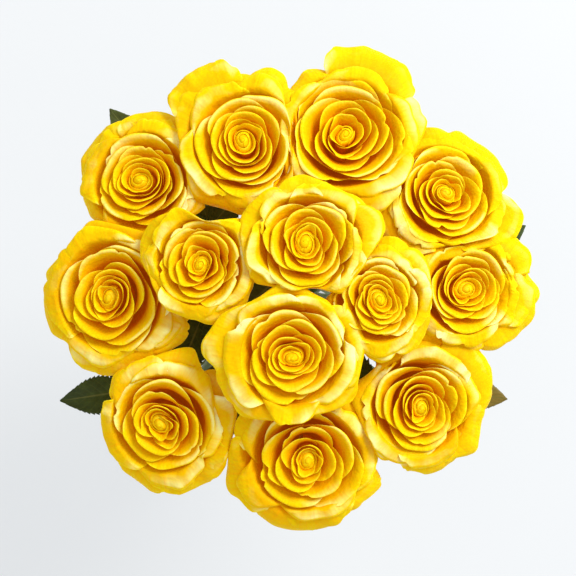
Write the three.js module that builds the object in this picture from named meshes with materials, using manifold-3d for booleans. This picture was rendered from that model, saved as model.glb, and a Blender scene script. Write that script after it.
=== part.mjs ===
// A hand-tied bunch of thirteen open roses. The stems spiral through a twine tie and splay out below it,
// cut level, so the bunch stands on its own cut ends. Millimetres, +Z up, floor at z = 0.
import * as THREE from "three";
import { mergeVertices } from "three/addons/utils/BufferGeometryUtils.js";
import Module from "manifold-3d";

const wasm = await Module();
wasm.setup();

// ---- Driving dimensions, in millimetres ----
const HEIGHT = 420; // floor to the heart of a bloom at the very top of the dome
const DOME_RADIUS = 200; // radius of the dome that the hearts lie on
const TIE_HEIGHT = 130; // floor to the middle of the tie
const BLOOM_WIDTH = 78; // across a middling open bloom
const BLOOM_HEIGHT = 48; // seat on the hip to the heart
const HIP_HEIGHT = 13;
const HIP_RADIUS = 6.5;
const SEPAL_LENGTH = 27;
const SEPAL_WIDTH = 8;
const SEPAL_THICKNESS = 1;
const STEM_WIDTH = 6;
const NECK_BEND = 30; // length over which a stem turns up towards its bloom, each side of the bend
const TIE_WIDTH = 22; // along the stems
const TWINE_WIDTH = 3.4;
const KNOT_WIDTH = 9;
const TAIL_LENGTH = 20; // what is left of the twine past its knot, each end
const LEAFLET_LENGTH = 42; // the leaflet at the end of a full-sized leaf
const LEAFLET_WIDTH = 25;
const LEAF_STALK = 40; // stem to the foot of the end leaflet, on a full-sized leaf
const LEAF_THICKNESS = 0.9;
const STALK_WIDTH = 2.2;

// ---- Clearances ----
const SEAM_GAP = 0.3; // between pieces that touch, such as a hip and its stem
const STEM_GAP = 1.2; // between neighbouring stems where they cross in the tie
const PETAL_GAP = 0.8; // between neighbouring blooms

// ---- Angles and shares ----
const UPTURN = 0.4; // 0: a bloom faces along its stem, 1: straight up
const SWIRL_DEPTH = 1.1; // height of the whorls on top of a bloom
const SEPALS = 5;
const KNOT_HEADING = -Math.PI / 3; // the side of the tie that the knot is on

// Where each heart is in plan, in bloom widths from the bunch's middle (+X right, +Y away), and how wide
// the bloom is, as a multiple of BLOOM_WIDTH. The outer ring comes first, then the four in the middle.
const OUTER_BLOOMS = [
  { name: "01", x: -1.16, y: 0.84, size: 1.02 },
  { name: "02", x: -0.35, y: 1.12, size: 1.1 },
  { name: "03", x: 0.44, y: 1.19, size: 1.2 },
  { name: "04", x: 1.21, y: 0.73, size: 1.04 },
  { name: "05", x: 1.37, y: 0.0, size: 0.98 },
  { name: "06", x: 1.01, y: -0.93, size: 1.02 },
  { name: "07", x: 0.13, y: -1.34, size: 1.16 },
  { name: "08", x: -1.0, y: -1.06, size: 1.06 },
  { name: "09", x: -1.4, y: -0.07, size: 1.16 },
];
const INNER_BLOOMS = [
  { name: "10", x: -0.69, y: 0.19, size: 0.88 },
  { name: "11", x: 0.13, y: 0.34, size: 0.97 },
  { name: "12", x: 0.67, y: -0.1, size: 0.86 },
  { name: "13", x: 0.01, y: -0.51, size: 1.08 },
];

// ---- Materials ----
const petalYellow = { color: 0xf5c60a, roughness: 0.6, metalness: 0 };
const sepalGreen = { color: 0x5f7a2c, roughness: 0.6, metalness: 0 };
const stemGreen = { color: 0x4f6b2a, roughness: 0.55, metalness: 0 };
const leafGreen = { color: 0x26401c, roughness: 0.5, metalness: 0 };
const twineBrown = { color: 0xb08d57, roughness: 0.9, metalness: 0 };

const UP = new THREE.Vector3(0, 0, 1);
const TURN = Math.PI * 2;

function named(name, geometry, finish) {
  const mesh = new THREE.Mesh(geometry, new THREE.MeshStandardMaterial(finish));
  mesh.name = name;
  return mesh;
}

// ---- Joining ----
function toSolid(geometry) {
  const bare = geometry.clone();
  bare.deleteAttribute("normal");
  bare.deleteAttribute("uv");
  const merged = mergeVertices(bare, 1e-3);
  return new wasm.Manifold(
    new wasm.Mesh({
      numProp: 3,
      vertProperties: merged.attributes.position.array,
      triVerts: new Uint32Array(merged.index.array),
    }),
  );
}

function toGeometry(solid) {
  const { vertProperties, triVerts } = solid.getMesh();
  const geometry = new THREE.BufferGeometry();
  geometry.setAttribute("position", new THREE.BufferAttribute(new Float32Array(vertProperties), 3));
  geometry.setIndex(new THREE.BufferAttribute(new Uint32Array(triVerts), 1));
  geometry.computeVertexNormals();
  return geometry;
}

function joined(geometries) {
  return toGeometry(geometries.map(toSolid).reduce((whole, piece) => whole.add(piece)));
}

// Moves every corner of a geometry by a function that changes the vector it is given.
function reshape(geometry, move) {
  const place = geometry.attributes.position;
  const corner = new THREE.Vector3();
  for (let i = 0; i < place.count; i++) {
    move(corner.fromBufferAttribute(place, i));
    place.setXYZ(i, corner.x, corner.y, corner.z);
  }
  return geometry;
}

// A body turned about +Z from [radius, height] pairs that start and end on the axis, lowest first.
function turned(pairs, sides) {
  const profile = pairs.map(([radius, height]) => new THREE.Vector2(radius, height));
  return new THREE.LatheGeometry(profile, sides).rotateX(Math.PI / 2);
}

// ---- The roses' places ----
const planRadius = (bloom) => Math.hypot(bloom.x, bloom.y) * BLOOM_WIDTH;
const widest = Math.max(...OUTER_BLOOMS.map(planRadius));
const steepest = Math.atan2(widest, HEIGHT - BLOOM_HEIGHT - HIP_HEIGHT - TIE_HEIGHT);
const stemPitch = (STEM_WIDTH + STEM_GAP) / Math.cos(steepest);
const innerWaist = stemPitch / (2 * Math.sin(Math.PI / INNER_BLOOMS.length));
const outerWaist = Math.max(
  stemPitch / (2 * Math.sin(Math.PI / OUTER_BLOOMS.length)),
  innerWaist + STEM_WIDTH + STEM_GAP,
);

// The blooms of one ring, with each stem's place in the tie: even steps round the waist, in the order of
// the blooms, a quarter turn behind them, which is what makes the stems spiral.
function ringOfRoses(blooms, waist) {
  const azimuth = (bloom) => (Math.atan2(bloom.y, bloom.x) + TURN) % TURN;
  const order = [...blooms].sort((a, b) => azimuth(a) - azimuth(b));
  const step = TURN / order.length;
  const lead = order.reduce((sum, bloom, k) => sum + azimuth(bloom) - k * step, 0) / order.length;
  return order.map((bloom, k) => {
    const angle = lead + k * step - TURN / 4;
    const drop = DOME_RADIUS - Math.sqrt(DOME_RADIUS ** 2 - planRadius(bloom) ** 2);
    const heart = new THREE.Vector3(bloom.x * BLOOM_WIDTH, bloom.y * BLOOM_WIDTH, HEIGHT - drop);
    const inTie = new THREE.Vector3(waist * Math.cos(angle), waist * Math.sin(angle), TIE_HEIGHT);
    const axis = heart.clone().sub(inTie).normalize().lerp(UP, UPTURN).normalize();
    const seat = heart.clone().addScaledVector(axis, -BLOOM_HEIGHT);
    const neck = seat.clone().addScaledVector(axis, -HIP_HEIGHT - SEAM_GAP);
    const bend = neck.clone().addScaledVector(axis, -NECK_BEND);
    const slant = bend.clone().sub(inTie).normalize();
    const foot = inTie.clone().addScaledVector(slant, -TIE_HEIGHT / slant.z);
    const middle = seat.clone().addScaledVector(axis, BLOOM_HEIGHT * 0.6);
    const path = stemPath(foot, bend.clone().addScaledVector(slant, -NECK_BEND), bend, neck);
    return { name: bloom.name, width: bloom.size * BLOOM_WIDTH, axis, seat, slant, foot, middle, path };
  });
}

// Straight from the foot, then one bend up to the neck.
function stemPath(foot, bendStart, bend, neck) {
  const path = new THREE.CurvePath();
  path.add(new THREE.LineCurve3(foot, bendStart));
  path.add(new THREE.QuadraticBezierCurve3(bendStart, bend, neck));
  return path;
}

const roses = [...ringOfRoses(OUTER_BLOOMS, outerWaist), ...ringOfRoses(INNER_BLOOMS, innerWaist)];
const roseNamed = (name) => roses.find((rose) => rose.name === name);

// How far a point of one rose can go in a direction before it meets the wall between that rose's share
// of the dome and a neighbour's. A wider bloom has the larger share.
function roomToNeighbours(rose, point, direction) {
  let room = Infinity;
  for (const other of roses) {
    if (other === rose) continue;
    const across = other.middle.clone().sub(rose.middle);
    const apart = across.length();
    across.divideScalar(apart);
    const wall = (apart ** 2 + (rose.width / 2) ** 2 - (other.width / 2) ** 2) / (2 * apart);
    const toWall = wall - PETAL_GAP / 2 - point.clone().sub(rose.middle).dot(across);
    const speed = direction.dot(across);
    if (speed > 1e-6) room = Math.min(room, toWall / speed);
  }
  return room;
}

// A frame that sits on the hip with +Z along the bloom's axis.
function roseGroup(rose) {
  const group = new THREE.Group();
  group.position.copy(rose.seat);
  group.quaternion.setFromUnitVectors(UP, rose.axis);
  group.updateMatrixWorld(true);
  return group;
}

// ---- Bloom: a cupped head of petals, lobed at the rim, whorled on top, and flattened where it meets its
// neighbours ----
function bloomMesh(rose, group) {
  const radius = rose.width / 2;
  const sides = 16;
  const head = turned(
    [
      [0, 0],
      [HIP_RADIUS, 0],
      [radius * 0.46, BLOOM_HEIGHT * 0.07],
      [radius * 0.76, BLOOM_HEIGHT * 0.25],
      [radius * 0.95, BLOOM_HEIGHT * 0.48],
      [radius, BLOOM_HEIGHT * 0.64],
      [radius * 0.9, BLOOM_HEIGHT * 0.77],
      [radius * 0.72, BLOOM_HEIGHT * 0.89],
      [radius * 0.52, BLOOM_HEIGHT * 0.96],
      [radius * 0.34, BLOOM_HEIGHT],
      [radius * 0.18, BLOOM_HEIGHT * 0.99],
      [0, BLOOM_HEIGHT * 0.93],
    ],
    sides,
  );
  const turnOfLobes = Number(rose.name);
  reshape(head, (corner) => {
    const out = Math.hypot(corner.x, corner.y);
    if (out < HIP_RADIUS + 0.01) return;
    const angle = Math.atan2(corner.y, corner.x);
    const direction = new THREE.Vector3(corner.x / out, corner.y / out, 0);
    const lobed = out * (1 + 0.04 * Math.cos(5 * angle + turnOfLobes));
    const onAxis = new THREE.Vector3(0, 0, corner.z).applyMatrix4(group.matrixWorld);
    const outward = direction.clone().transformDirection(group.matrixWorld);
    const reach = Math.min(lobed, roomToNeighbours(rose, onAxis, outward));
    const isTop = corner.z > BLOOM_HEIGHT * 0.7;
    const whorl = isTop ? SWIRL_DEPTH * Math.cos((out / radius) * TURN * 2.5 - angle) : 0;
    corner.set(direction.x * reach, direction.y * reach, corner.z + whorl);
  });
  return named(`bloom_${rose.name}`, head, petalYellow);
}

// ---- Calyx: the green hip under a bloom with its five sepals, which stop short of the neighbours ----
function calyxMesh(rose, group) {
  const hip = turned(
    [
      [0, -HIP_HEIGHT],
      [STEM_WIDTH / 2, -HIP_HEIGHT],
      [HIP_RADIUS * 0.92, -HIP_HEIGHT * 0.65],
      [HIP_RADIUS, -HIP_HEIGHT * 0.35],
      [HIP_RADIUS * 0.85, -SEAM_GAP],
      [0, -SEAM_GAP],
    ],
    8,
  );
  const rooted = new THREE.Vector3(0, 0, -HIP_HEIGHT * 0.35);
  const sepals = [];
  for (let k = 0; k < SEPALS; k++) {
    const angle = (k / SEPALS) * TURN + Number(rose.name);
    const out = new THREE.Vector3(Math.cos(angle), Math.sin(angle), 0);
    const start = rooted.clone().applyMatrix4(group.matrixWorld);
    const room = roomToNeighbours(rose, start, out.clone().transformDirection(group.matrixWorld));
    const length = Math.min(SEPAL_LENGTH, room - SEPAL_WIDTH / 2);
    sepals.push(sepal(length).rotateZ(angle).translate(0, 0, rooted.z));
  }
  return named(`calyx_${rose.name}`, joined([hip, ...sepals]), sepalGreen);
}

// A pointed blade along +X that droops towards its tip.
function sepal(length) {
  const outline = new THREE.Shape([
    new THREE.Vector2(HIP_RADIUS * 0.4, -SEPAL_WIDTH * 0.3),
    new THREE.Vector2(length * 0.5, -SEPAL_WIDTH * 0.5),
    new THREE.Vector2(length, 0),
    new THREE.Vector2(length * 0.5, SEPAL_WIDTH * 0.5),
    new THREE.Vector2(HIP_RADIUS * 0.4, SEPAL_WIDTH * 0.3),
  ]);
  const blade = new THREE.ExtrudeGeometry(outline, { depth: SEPAL_THICKNESS, bevelEnabled: false });
  return reshape(blade, (corner) => {
    corner.z -= 0.35 * (corner.x ** 2 / length) + SEPAL_THICKNESS / 2;
  });
}

// A round rod along a path.
function rod(path, width, sides, steps) {
  const section = new THREE.Shape();
  section.absarc(0, 0, width / 2, 0, TURN);
  return new THREE.ExtrudeGeometry(section, { steps, curveSegments: sides / 2, extrudePath: path });
}

// ---- Stem: straight up through the tie, then turned up to its bloom, and cut level at the floor ----
function stemMesh(rose) {
  const stem = rod(rose.path, STEM_WIDTH, 8, 10);
  reshape(stem, (corner) => {
    const inFootRing = corner.distanceTo(rose.foot) < STEM_WIDTH * 0.75;
    if (inFootRing) corner.addScaledVector(rose.slant, -corner.z / rose.slant.z);
  });
  return named(`stem_${rose.name}`, stem, stemGreen);
}

// ---- Leaves: a stalk with one, three or five leaflets. below is how far down the stem from the neck, in
// leaflet lengths; heading is the way the leaf points in plan and rise its slope, in degrees ----
const LEAVES = [
  { stem: "08", below: 0.85, heading: 188, rise: 20, size: 1.05, leaflets: 3 },
  { stem: "06", below: 0.85, heading: 350, rise: 20, size: 1.0, leaflets: 3 },
  { stem: "05", below: 0.7, heading: 32, rise: 18, size: 0.95, leaflets: 3 },
  { stem: "01", below: 0.85, heading: 128, rise: 20, size: 0.95, leaflets: 3 },
  { stem: "09", below: 1.0, heading: 160, rise: 15, size: 0.8, leaflets: 3 },
  { stem: "02", below: 0.85, heading: 95, rise: 20, size: 0.7, leaflets: 3 },
  { stem: "04", below: 0.85, heading: 62, rise: 20, size: 0.8, leaflets: 3 },
  { stem: "07", below: 1.0, heading: 250, rise: 15, size: 0.8, leaflets: 3 },
  { stem: "03", below: 2.4, heading: 40, rise: 10, size: 1.0, leaflets: 5 },
  { stem: "05", below: 2.6, heading: 340, rise: 5, size: 1.0, leaflets: 5 },
  { stem: "07", below: 2.6, heading: 300, rise: 10, size: 1.0, leaflets: 5 },
  { stem: "08", below: 2.7, heading: 225, rise: 5, size: 1.0, leaflets: 5 },
  { stem: "01", below: 2.6, heading: 150, rise: 5, size: 1.0, leaflets: 5 },
  { stem: "10", below: 0.6, heading: 248, rise: 8, size: 0.8, leaflets: 3 },
  { stem: "10", below: 1.0, heading: 112, rise: 10, size: 0.75, leaflets: 3 },
  { stem: "12", below: 0.6, heading: 76, rise: 10, size: 0.75, leaflets: 3 },
  { stem: "13", below: 0.43, heading: 330, rise: 8, size: 1.0, leaflets: 1 },
  { stem: "13", below: 0.85, heading: 235, rise: 8, size: 0.85, leaflets: 3 },
  { stem: "11", below: 0.6, heading: 222, rise: 6, size: 0.9, leaflets: 1 },
];
const SINGLE_STALK = 0.35; // share of the full stalk on a leaf of one leaflet
const PAIR_SHARES = [0.86, 0.42]; // where each pair of side leaflets leaves the stalk
const PAIR_SIZES = [0.84, 0.68]; // their size, beside the end leaflet
const SIDE_ANGLE = (62 * Math.PI) / 180;

// A pointed oval along +X that arches down to its tip.
function leafletGeometry(length, width) {
  const half = [
    [0.1, 0.24],
    [0.32, 0.48],
    [0.58, 0.46],
    [0.82, 0.24],
  ];
  const near = half.map(([x, y]) => new THREE.Vector2(x * length, -y * width));
  const far = half.map(([x, y]) => new THREE.Vector2(x * length, y * width)).reverse();
  const outline = new THREE.Shape([new THREE.Vector2(0, 0), ...near, new THREE.Vector2(length, 0), ...far]);
  const blade = new THREE.ExtrudeGeometry(outline, { depth: LEAF_THICKNESS, bevelEnabled: false });
  return reshape(blade, (corner) => {
    corner.z += -LEAF_THICKNESS / 2 - 0.14 * (corner.x ** 2 / length);
  });
}

function leafMesh(leaf, index) {
  const rose = roseNamed(leaf.stem);
  const heading = THREE.MathUtils.degToRad(leaf.heading);
  const rise = THREE.MathUtils.degToRad(leaf.rise);
  const level = Math.cos(rise);
  const forward = new THREE.Vector3(Math.cos(heading) * level, Math.sin(heading) * level, Math.sin(rise));
  const side = UP.clone().cross(forward).normalize();
  const along = 1 - (leaf.below * LEAFLET_LENGTH) / rose.path.getLength();
  const tangent = rose.path.getTangentAt(along);
  const outward = forward.clone().addScaledVector(tangent, -forward.dot(tangent)).normalize();
  const frame = new THREE.Matrix4().makeBasis(forward, side, forward.clone().cross(side));
  const root = rose.path.getPointAt(along);
  const stalkReach = (STALK_WIDTH / 2) * Math.sin(forward.angleTo(outward));
  root.addScaledVector(outward, STEM_WIDTH / 2 + SEAM_GAP + stalkReach);
  frame.setPosition(root);

  const isSingle = leaf.leaflets === 1;
  const stalk = LEAF_STALK * leaf.size * (isSingle ? SINGLE_STALK : 1);
  const length = LEAFLET_LENGTH * leaf.size;
  const width = LEAFLET_WIDTH * leaf.size;
  const overlap = STALK_WIDTH; // the stalk runs this far into each leaflet
  const line = new THREE.LineCurve3(new THREE.Vector3(), new THREE.Vector3(stalk + overlap, 0, 0));
  const pieces = [rod(line, STALK_WIDTH, 6, 1), leafletGeometry(length, width).translate(stalk, 0, 0)];
  for (let pair = 0; pair < (leaf.leaflets - 1) / 2; pair++) {
    for (const turn of [-SIDE_ANGLE, SIDE_ANGLE]) {
      const blade = leafletGeometry(length * PAIR_SIZES[pair], width * PAIR_SIZES[pair]);
      pieces.push(blade.rotateZ(turn).translate(stalk * PAIR_SHARES[pair], 0, 0));
    }
  }
  const whole = joined(pieces).applyMatrix4(frame);
  return named(`leaf_${String(index + 1).padStart(2, "0")}`, whole, leafGreen);
}

// ---- Tie: twine wound round the crossing stems, following their waist, with its knot ----
const stemHalfWidth = STEM_WIDTH / 2 / Math.cos(steepest); // across a stem cut level
function tieBore(height) {
  const reach = roses.map((rose) => {
    const at = rose.foot.clone().addScaledVector(rose.slant, height / rose.slant.z);
    return Math.hypot(at.x, at.y);
  });
  return Math.max(...reach) + stemHalfWidth + SEAM_GAP;
}

function tieMesh() {
  const turns = Math.round(TIE_WIDTH / TWINE_WIDTH);
  const low = TIE_HEIGHT - TIE_WIDTH / 2;
  const inner = [];
  const outer = [];
  for (let k = 0; k <= 4; k++) {
    const height = low + (k / 4) * TIE_WIDTH;
    inner.push([tieBore(height), height]);
  }
  for (let k = 0; k <= turns * 2; k++) {
    const height = low + (k / (turns * 2)) * TIE_WIDTH;
    const isCrest = k % 2 === 1;
    outer.push([tieBore(height) + TWINE_WIDTH * (isCrest ? 1 : 0.6), height]);
  }
  const ring = turned([inner[0], ...outer, ...inner.reverse()], 20);
  return named("tie", ring, twineBrown);
}

function knotMesh() {
  const out = tieBore(TIE_HEIGHT) + TWINE_WIDTH + SEAM_GAP + KNOT_WIDTH / 2;
  const ball = new THREE.SphereGeometry(KNOT_WIDTH / 2, 10, 8).scale(1, 1.2, 0.85);
  const tails = [-1, 1].map((side) => {
    const path = new THREE.QuadraticBezierCurve3(
      new THREE.Vector3(0, side * KNOT_WIDTH * 0.2, 0),
      new THREE.Vector3(TAIL_LENGTH * 0.35, side * TAIL_LENGTH * 0.6, -TAIL_LENGTH * 0.2),
      new THREE.Vector3(TAIL_LENGTH * 0.4, side * TAIL_LENGTH * 0.7, -TAIL_LENGTH * 0.75),
    );
    return rod(path, TWINE_WIDTH * 0.8, 6, 5);
  });
  const knot = named("tie_knot", joined([ball, ...tails]), twineBrown);
  knot.position.set(0, 0, TIE_HEIGHT);
  knot.rotation.z = KNOT_HEADING;
  knot.geometry.translate(out, 0, 0);
  return knot;
}
// ---- The bunch, with the middle of its outline over the origin ----
const bunch = new THREE.Group();
for (const rose of roses) {
  const group = roseGroup(rose);
  group.add(bloomMesh(rose, group));
  group.add(calyxMesh(rose, group));
  bunch.add(group);
  bunch.add(stemMesh(rose));
}
LEAVES.forEach((leaf, index) => bunch.add(leafMesh(leaf, index)));
bunch.add(tieMesh());
bunch.add(knotMesh());

const outline = new THREE.Box3().setFromObject(bunch);
bunch.position.set(-(outline.min.x + outline.max.x) / 2, -(outline.min.y + outline.max.y) / 2, 0);

export default bunch;
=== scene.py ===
"""A hand-tied bunch of thirteen yellow roses, standing on its cut stems, seen from straight above."""
import math

import bpy
import numpy as np
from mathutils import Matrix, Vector


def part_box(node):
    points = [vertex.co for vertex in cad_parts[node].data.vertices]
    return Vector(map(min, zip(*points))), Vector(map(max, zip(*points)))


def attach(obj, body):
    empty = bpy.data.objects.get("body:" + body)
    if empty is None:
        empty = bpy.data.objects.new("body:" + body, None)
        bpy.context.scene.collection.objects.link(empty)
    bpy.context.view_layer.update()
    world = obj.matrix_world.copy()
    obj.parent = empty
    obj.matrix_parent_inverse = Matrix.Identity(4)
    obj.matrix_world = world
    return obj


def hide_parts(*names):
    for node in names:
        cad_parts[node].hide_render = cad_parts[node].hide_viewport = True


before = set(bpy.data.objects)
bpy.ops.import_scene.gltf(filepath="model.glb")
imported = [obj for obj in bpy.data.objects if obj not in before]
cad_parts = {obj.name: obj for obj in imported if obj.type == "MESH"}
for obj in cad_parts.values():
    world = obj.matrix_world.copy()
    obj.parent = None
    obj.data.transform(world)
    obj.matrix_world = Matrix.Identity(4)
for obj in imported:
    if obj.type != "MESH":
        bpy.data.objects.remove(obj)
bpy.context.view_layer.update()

BODY = "root"
SCENE = bpy.context.scene
MM = 0.001
TURN = 2 * math.pi
ROSES = [f"{n:02d}" for n in range(1, 14)]


# ---- what the frame says

RING_SPREAD = 4.0  # mm of height that the corners of one ring of a stem lie within
RING_GAP = 8.0  # mm along a stem that part one ring of corners from the next
HEAD_MARGIN = 1.04  # the CAD head's girth beside the bloom's own
MIDDLE_LEVEL = 0.6  # the height at which neighbouring blooms meet, as a share of a bloom's height


def corners(node):
    """The separate corners of a CAD node's mesh, in millimetres."""
    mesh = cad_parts[node].data
    co = np.empty(len(mesh.vertices) * 3)
    mesh.vertices.foreach_get("co", co)
    return np.unique(np.round(co.reshape(-1, 3) / MM, 3), axis=0)


def unit(v):
    v = np.asarray(v, float)
    return v / np.linalg.norm(v)


def stem_rings(node):
    """The middles of a stem's rings of corners, from foot to neck."""
    pts = corners(node)
    top, foot = pts[pts[:, 2].argmax()], pts[pts[:, 2].argmin()]
    along = (pts - foot) @ unit(top - foot)
    order = np.argsort(along)
    breaks = np.where(np.diff(along[order]) > RING_GAP)[0] + 1
    return np.array([pts[group].mean(0) for group in np.split(order, breaks)])


def rose_frame(name):
    """Seat, neck, axes, height and radius of a bloom, from its own solid and the end of its stem."""
    stem = corners(f"stem_{name}")
    ring = stem[stem[:, 2] > stem[:, 2].max() - RING_SPREAD]
    neck = ring.mean(0)
    axis = np.linalg.svd(ring - neck)[2][2]
    axis = axis * np.sign(axis[2])
    head = corners(f"bloom_{name}") - neck
    height = head @ axis
    radius = np.linalg.norm(head - np.outer(height, axis), axis=1)
    side = unit(np.cross((0, 1, 0), axis))
    return {"seat": neck + axis * height.min(), "neck": neck, "axis": axis, "side": side,
            "up": np.cross(axis, side), "height": height.max() - height.min(),
            "radius": radius.max() / HEAD_MARGIN}


FRAMES = {name: rose_frame(name) for name in ROSES}
for f in FRAMES.values():
    f["middle"] = f["seat"] + f["axis"] * f["height"] * MIDDLE_LEVEL
TIE_LOW, TIE_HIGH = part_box("tie")
BUNCH_MIDDLE = (TIE_LOW + TIE_HIGH) / 2


# ---- camera, lights and floor

FRAME_WIDTH = 0.3456  # what the picture spans at the height of the outer hearts
HEART_LEVEL = 0.388
CAMERA_ABOVE = 1.0  # from the hearts
CAMERA_ASIDE = -0.0012  # from the tie's middle, along X
SENSOR = 36.0
WARM_WHITE = (1.0, 0.98, 0.95)
KEY_PLACE = (1.2, 1.1, 1.75)
KEY_AIM = (0, 0, 0.35)
KEY_WIDTH = 1.2
KEY_POWER = 50
WORLD_STRENGTH = 0.78

camera_data = bpy.data.cameras.new("camera")
camera_data.sensor_width = SENSOR
camera_data.lens = SENSOR * CAMERA_ABOVE / FRAME_WIDTH
camera = bpy.data.objects.new("camera", camera_data)
SCENE.collection.objects.link(camera)
camera.location = (BUNCH_MIDDLE.x + CAMERA_ASIDE, BUNCH_MIDDLE.y, HEART_LEVEL + CAMERA_ABOVE)
SCENE.camera = camera
SCENE.view_settings.view_transform = "Standard"

key_data = bpy.data.lights.new("key", "AREA")
key_data.shape = "DISK"
key_data.size = KEY_WIDTH
key_data.energy = KEY_POWER
key_data.color = WARM_WHITE
key = bpy.data.objects.new("key", key_data)
key.location = KEY_PLACE
key.rotation_euler = (Vector(KEY_AIM) - Vector(KEY_PLACE)).to_track_quat("-Z", "Y").to_euler()
SCENE.collection.objects.link(key)

world = bpy.data.worlds.new("studio")
world.use_nodes = True
background = world.node_tree.nodes["Background"]
background.inputs["Color"].default_value = (*WARM_WHITE, 1)
background.inputs["Strength"].default_value = WORLD_STRENGTH
SCENE.world = world


# ---- small helpers for node materials

def new_material(name):
    material = bpy.data.materials.new(name)
    material.use_nodes = True
    tree = material.node_tree
    return material, tree, tree.nodes["Principled BSDF"]


def feed(tree, node, inputs):
    """Sets a node's inputs, by name or number, and links those that another node gives."""
    for key, value in inputs.items():
        if isinstance(value, bpy.types.NodeSocket):
            tree.links.new(value, node.inputs[key])
        else:
            node.inputs[key].default_value = value


def add_node(tree, kind, inputs=None, **settings):
    node = tree.nodes.new(kind)
    for key, value in settings.items():
        setattr(node, key, value)
    feed(tree, node, inputs or {})
    return node


def calc(tree, operation, *values):
    """One step of arithmetic on numbers or on other nodes' outputs."""
    return add_node(tree, "ShaderNodeMath", dict(enumerate(values)), operation=operation).outputs[0]


def noise(tree, scale, detail, roughness=0.5, vector=None):
    """Smooth noise from 0 to 1, over the piece's box if no vector is given."""
    inputs = {"Scale": scale, "Detail": detail, "Roughness": roughness}
    if vector is not None:
        inputs["Vector"] = vector
    return add_node(tree, "ShaderNodeTexNoise", inputs).outputs["Fac"]


def stretched(tree, *parts):
    """A vector of up to three values, each times its own scale."""
    scaled = {k: calc(tree, "MULTIPLY", value, scale) for k, (value, scale) in enumerate(parts)}
    return add_node(tree, "ShaderNodeCombineXYZ", scaled).outputs[0]


def ramp(tree, value, stops):
    """A colour that follows a value from stop to stop."""
    node = add_node(tree, "ShaderNodeValToRGB", {"Fac": value})
    elements = node.color_ramp.elements
    while len(elements) < len(stops):
        elements.new(0.5)
    for element, (place, colour) in zip(elements, stops):
        element.position = place
        element.color = (*colour, 1)
    return node.outputs["Color"]


def fade(tree, value, *stops):
    """A level from 0 to 1 that follows a value from stop to stop."""
    return ramp(tree, value, [(place, (level, level, level)) for place, level in stops])


def mix(tree, share, a, b):
    """Colour a, which goes over to colour b as the share rises to 1."""
    a, b = [c if isinstance(c, bpy.types.NodeSocket) else (*c, 1) for c in (a, b)]
    return add_node(tree, "ShaderNodeMix", {0: share, 6: a, 7: b}, data_type="RGBA").outputs[2]


def bump(tree, height, strength, distance, **under):
    inputs = {"Height": height, "Strength": strength, "Distance": distance, **under}
    return add_node(tree, "ShaderNodeBump", inputs).outputs["Normal"]


def marks_of(tree, name="marks"):
    """The three numbers that a piece carries at each corner."""
    place = add_node(tree, "ShaderNodeAttribute", attribute_name=name)
    return add_node(tree, "ShaderNodeSeparateXYZ", {0: place.outputs["Vector"]}).outputs


# ---- materials

# A petal's colours from its rim downwards: in the heart of the bloom, and at its outside. They grow darker
# and more orange further down. This is partly the petals' own deeper colour near their base and partly
# painted shade for the shadow deep between the petals.
HEART_COLOURS_AND_SHADE = [
    (0.0, (0.88, 0.74, 0.008)),
    (0.010, (0.82, 0.61, 0.001)),
    (0.05, (0.80, 0.48, 0.001)),
    (0.12, (0.78, 0.34, 0.001)),
    (0.26, (0.77, 0.18, 0.001)),
    (0.60, (0.70, 0.12, 0.001)),
]
GUARD_COLOURS_AND_SHADE = [
    (0.0, (0.88, 0.74, 0.012)),
    (0.03, (0.83, 0.64, 0.001)),
    (0.18, (0.80, 0.57, 0.001)),
    (0.32, (0.77, 0.47, 0.001)),
    (0.50, (0.74, 0.38, 0.003)),
    (0.75, (0.70, 0.43, 0.020)),
    (1.0, (0.48, 0.46, 0.060)),
]
# Painted highlight: the creamy pale yellow laid on the outer petals' rims where they face up towards the
# light.
PAINTED_CREAM_HIGHLIGHT = (0.91, 0.95, 0.42)
PETAL_VEINS = (0.90, 0.36, 0.002)
PAINTED_PETAL_GLOW = (0.8, 0.20, 0.001, 1)  # painted glow: the petals give off this faint light themselves, standing in for the light that they pass on to each other

SIDE_VEINS = 8.0  # down each side of a leaflet
VEIN_SLANT = 0.28  # how far a side vein runs on towards the tip, as a share of the leaflet
LEAF_GREENS = [(0.3, (0.016, 0.038, 0.006)), (0.7, (0.052, 0.092, 0.014))]
LEAF_DRY = (0.21, 0.15, 0.025)
LEAF_SIDE_VEIN = (0.07, 0.10, 0.022)
LEAF_MIDRIB = (0.13, 0.15, 0.04)

BARK_DARK, BARK_PALE, BARK_FIBRE = (0.055, 0.105, 0.018), (0.13, 0.185, 0.04), (0.20, 0.24, 0.07)
BARK_BLUSH, CUT_WOOD = (0.20, 0.045, 0.02), (0.42, 0.40, 0.20)
SEPAL_GREENS = [(0.3, (0.085, 0.15, 0.024)), (0.7, (0.18, 0.26, 0.05))]
SEPAL_DOWN, SEPAL_TIP = (0.26, 0.30, 0.13), (0.20, 0.14, 0.03)
JUTE_COLOURS = [(0.3, (0.20, 0.115, 0.045)), (0.7, (0.52, 0.36, 0.17))]
JUTE_PALE = (0.62, 0.46, 0.25)
FLOOR_GREYS = [(0.3, (0.29, 0.30, 0.31)), (0.7, (0.30, 0.31, 0.32))]
FLOOR_GLOW = (0.92, 0.96, 1.0, 1)
FLOOR_REACH = 4.0  # metres each way


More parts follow.
